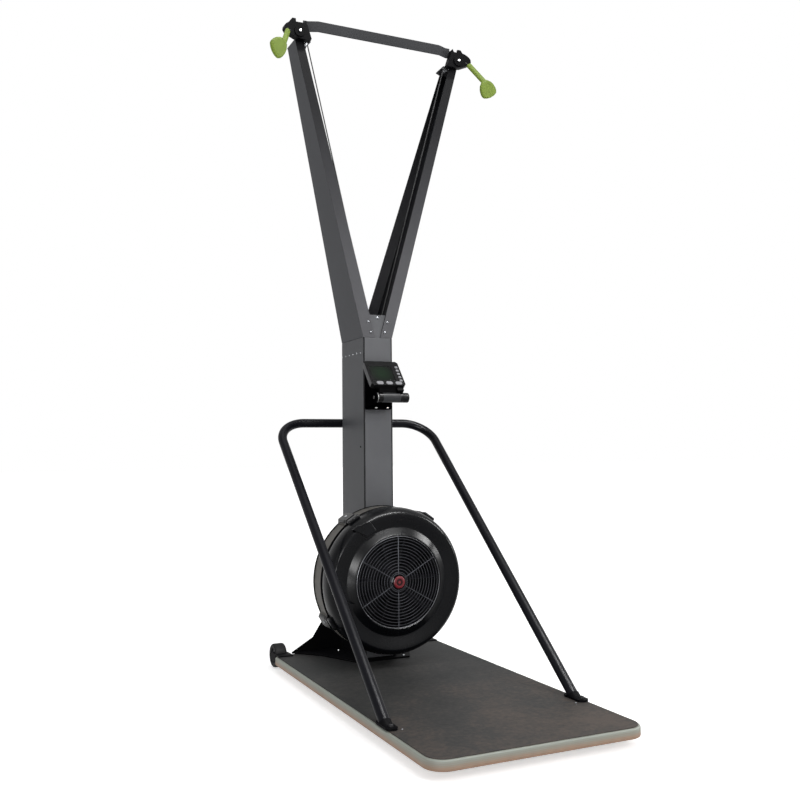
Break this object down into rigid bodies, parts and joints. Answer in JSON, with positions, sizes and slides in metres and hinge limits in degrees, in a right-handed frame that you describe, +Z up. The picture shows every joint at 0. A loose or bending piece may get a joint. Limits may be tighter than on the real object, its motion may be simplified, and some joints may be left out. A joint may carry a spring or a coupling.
{
  "type": "ski trainer machine",
  "caption": "Standing ski trainer on a plywood platform: column with two arms, pull handles on cords, air resistance fan, handrail and tilting monitor.",
  "frame": {"origin": "on the floor under the middle of the overall box", "axes": "+Z up, -Y towards the person standing on the platform, +X to that person's right facing the fan"},
  "size_m": [0.8325, 1.277, 2.158],
  "materials": {
    "plywood": "sanded birch plywood edge, clear satin",
    "grip": "matt mottled grip sheet",
    "rubber": "matt black rubber",
    "black_steel": "satin black powder coat",
    "grey_coat": "dark grey powder coat",
    "panel_coat": "mid grey powder coat",
    "rail_coat": "satin dark grey powder coat",
    "gloss": "glossy black moulding",
    "lime": "matt lime moulding",
    "steel": "plain machined steel",
    "red_cap": "red cap, no print",
    "cord": "black braided cord",
    "display": "dark green blank screen",
    "key_grey": "grey soft-touch key",
    "case_grey": "dark grey moulding"
  },
  "bodies": {
    "frame": {"platform_board": "plywood", "platform_grip_mat": "grip", "foot_strip_front": "rubber", "foot_strip_rear": "rubber", "base_frame": "black_steel", "column_body": "grey_coat", "column_front_panel": "panel_coat", "junction_plate": "grey_coat", "arm_left": "grey_coat", "arm_right": "grey_coat", "top_strap": "grey_coat", "head_housing_left": "gloss", "head_housing_right": "gloss", "wing_bracket_left": "black_steel", "wing_bracket_right": "black_steel", "drive_cord_left": "cord", "drive_cord_right": "cord", "cord_stub_left": "cord", "cord_stub_right": "cord", "bearing_front": "steel", "bearing_rear": "steel", "fan_rear_housing": "gloss", "fan_front_cover": "gloss", "fan_grille": "gloss", "fan_centre_cap": "red_cap", "support_rail": "rail_coat", "rail_foot_left": "black_steel", "rail_foot_right": "black_steel", "rail_clamp": "black_steel", "wheel_fork_left": "black_steel", "wheel_fork_right": "black_steel", "monitor_bracket": "black_steel", "return_cord": "cord"},
    "flywheel_rotor": {"flywheel": "steel", "flywheel_axle": "steel"},
    "damper": {"damper_ring": "black_steel"},
    "monitor": {"monitor_case": "case_grey", "monitor_screen": "display", "battery_tube": "case_grey"},
    "return_wheel": {"return_pulley": "steel"},
    "handle_left": {"handle_left": "lime"},
    "head_wheel_left": {"head_pulley_left": "steel"},
    "guide_wheel_left": {"guide_pulley_left": "steel"},
    "column_wheel_left": {"column_pulley_left": "steel"},
    "spool_left": {"drive_spool_left": "steel"},
    "transport_wheel_left": {"wheel_left": "rubber"},
    "handle_right": {"handle_right": "lime"},
    "head_wheel_right": {"head_pulley_right": "steel"},
    "guide_wheel_right": {"guide_pulley_right": "steel"},
    "column_wheel_right": {"column_pulley_right": "steel"},
    "spool_right": {"drive_spool_right": "steel"},
    "transport_wheel_right": {"wheel_right": "rubber"},
    "wide_key_1_cap": {"wide_key_1": "key_grey"},
    "wide_key_2_cap": {"wide_key_2": "key_grey"},
    "wide_key_3_cap": {"wide_key_3": "key_grey"},
    "menu_key_1_cap": {"menu_key_1": "key_grey"},
    "menu_key_2_cap": {"menu_key_2": "key_grey"},
    "menu_key_3_cap": {"menu_key_3": "key_grey"},
    "menu_key_4_cap": {"menu_key_4": "key_grey"},
    "menu_key_5_cap": {"menu_key_5": "key_grey"}
  },
  "joints": [
    {"name": "flywheel_spin", "type": "hinge", "parent": "frame", "child": "flywheel_rotor", "pos_m": [0, 0.2715, 0.324], "axis": [0, 1, 0], "continuous": true},
    {"name": "damper_turn", "type": "hinge", "parent": "frame", "child": "damper", "pos_m": [0, 0.3085, 0.324], "axis": [0, -1, 0], "range_deg": [0, 45]},
    {"name": "monitor_tilt", "type": "hinge", "parent": "frame", "child": "monitor", "pos_m": [-0.045, 0.2665, 0.9175], "axis": [1, 0, 0], "range_deg": [-1.5, 30]},
    {"name": "return_wheel_spin", "type": "hinge", "parent": "frame", "child": "return_wheel", "pos_m": [0.0173, 0.391, 0.122], "axis": [1, 0, 0], "continuous": true},
    {"name": "handle_left_pull", "type": "slide", "parent": "frame", "child": "handle_left", "axis": [0, -0.5, -0.866], "range_m": [0, 1.2], "stiffness_N_per_m": 5, "springref_m": -2, "deforming": ["cord_stub_left"]},
    {"name": "head_wheel_left_spin", "type": "hinge", "parent": "frame", "child": "head_wheel_left", "pos_m": [-0.29247, 0.30149, 2.108], "axis": [0, 1, 0], "range_deg": [-4302, 0]},
    {"name": "guide_wheel_left_spin", "type": "hinge", "parent": "frame", "child": "guide_wheel_left", "pos_m": [-0.26297, 0.32779, 2.086], "axis": [0, 1, 0], "range_deg": [-7242, 0]},
    {"name": "column_wheel_left_spin", "type": "hinge", "parent": "frame", "child": "column_wheel_left", "pos_m": [0.0043, 0.36348, 1.003], "axis": [0, 1, 0], "range_deg": [-5294, 0]},
    {"name": "spool_left_spin", "type": "hinge", "parent": "frame", "child": "spool_left", "pos_m": [0, 0.37, 0.324], "axis": [0, 1, 0], "range_deg": [-3979, 0]},
    {"name": "transport_wheel_left_spin", "type": "hinge", "parent": "frame", "child": "transport_wheel_left", "pos_m": [-0.2725, 0.5985, 0.041], "axis": [1, 0, 0], "continuous": true},
    {"name": "handle_right_pull", "type": "slide", "parent": "frame", "child": "handle_right", "axis": [0, -0.5, -0.866], "range_m": [0, 1.2], "stiffness_N_per_m": 5, "springref_m": -2, "deforming": ["cord_stub_right"]},
    {"name": "head_wheel_right_spin", "type": "hinge", "parent": "frame", "child": "head_wheel_right", "pos_m": [0.29247, 0.30149, 2.108], "axis": [0, 1, 0], "range_deg": [0, 4302]},
    {"name": "guide_wheel_right_spin", "type": "hinge", "parent": "frame", "child": "guide_wheel_right", "pos_m": [0.26297, 0.32779, 2.086], "axis": [0, 1, 0], "range_deg": [0, 7242]},
    {"name": "column_wheel_right_spin", "type": "hinge", "parent": "frame", "child": "column_wheel_right", "pos_m": [0.0303, 0.39148, 1.137], "axis": [0, 1, 0], "range_deg": [0, 5294]},
    {"name": "spool_right_spin", "type": "hinge", "parent": "frame", "child": "spool_right", "pos_m": [0, 0.398, 0.324], "axis": [0, 1, 0], "range_deg": [-3979, 0]},
    {"name": "transport_wheel_right_spin", "type": "hinge", "parent": "frame", "child": "transport_wheel_right", "pos_m": [0.2725, 0.5985, 0.041], "axis": [1, 0, 0], "continuous": true},
    {"name": "wide_key_1_press", "type": "slide", "parent": "monitor", "child": "wide_key_1_cap", "axis": [0, 0.7581, -0.6521], "range_m": [0, 0.001], "stiffness_N_per_m": 400, "springref_m": -0.0005},
    {"name": "wide_key_2_press", "type": "slide", "parent": "monitor", "child": "wide_key_2_cap", "axis": [0, 0.7581, -0.6521], "range_m": [0, 0.001], "stiffness_N_per_m": 400, "springref_m": -0.0005},
    {"name": "wide_key_3_press", "type": "slide", "parent": "monitor", "child": "wide_key_3_cap", "axis": [0, 0.7581, -0.6521], "range_m": [0, 0.001], "stiffness_N_per_m": 400, "springref_m": -0.0005},
    {"name": "menu_key_1_press", "type": "slide", "parent": "monitor", "child": "menu_key_1_cap", "axis": [0, 0.7581, -0.6521], "range_m": [0, 0.001], "stiffness_N_per_m": 400, "springref_m": -0.0005},
    {"name": "menu_key_2_press", "type": "slide", "parent": "monitor", "child": "menu_key_2_cap", "axis": [0, 0.7581, -0.6521], "range_m": [0, 0.001], "stiffness_N_per_m": 400, "springref_m": -0.0005},
    {"name": "menu_key_3_press", "type": "slide", "parent": "monitor", "child": "menu_key_3_cap", "axis": [0, 0.7581, -0.6521], "range_m": [0, 0.001], "stiffness_N_per_m": 400, "springref_m": -0.0005},
    {"name": "menu_key_4_press", "type": "slide", "parent": "monitor", "child": "menu_key_4_cap", "axis": [0, 0.7581, -0.6521], "range_m": [0, 0.001], "stiffness_N_per_m": 400, "springref_m": -0.0005},
    {"name": "menu_key_5_press", "type": "slide", "parent": "monitor", "child": "menu_key_5_cap", "axis": [0, 0.7581, -0.6521], "range_m": [0, 0.001], "stiffness_N_per_m": 400, "springref_m": -0.0005}
  ],
  "couplings": [
    {"joint": "head_wheel_left_spin", "follows": "handle_left_pull", "rad_per_m": -62.5},
    {"joint": "guide_wheel_left_spin", "follows": "handle_left_pull", "rad_per_m": -105.26},
    {"joint": "column_wheel_left_spin", "follows": "handle_left_pull", "rad_per_m": -76.923},
    {"joint": "spool_left_spin", "follows": "handle_left_pull", "rad_per_m": -57.803},
    {"joint": "head_wheel_right_spin", "follows": "handle_right_pull", "rad_per_m": 62.5},
    {"joint": "guide_wheel_right_spin", "follows": "handle_right_pull", "rad_per_m": 105.26},
    {"joint": "column_wheel_right_spin", "follows": "handle_right_pull", "rad_per_m": 76.923},
    {"joint": "spool_right_spin", "follows": "handle_right_pull", "rad_per_m": -57.803}
  ]
}
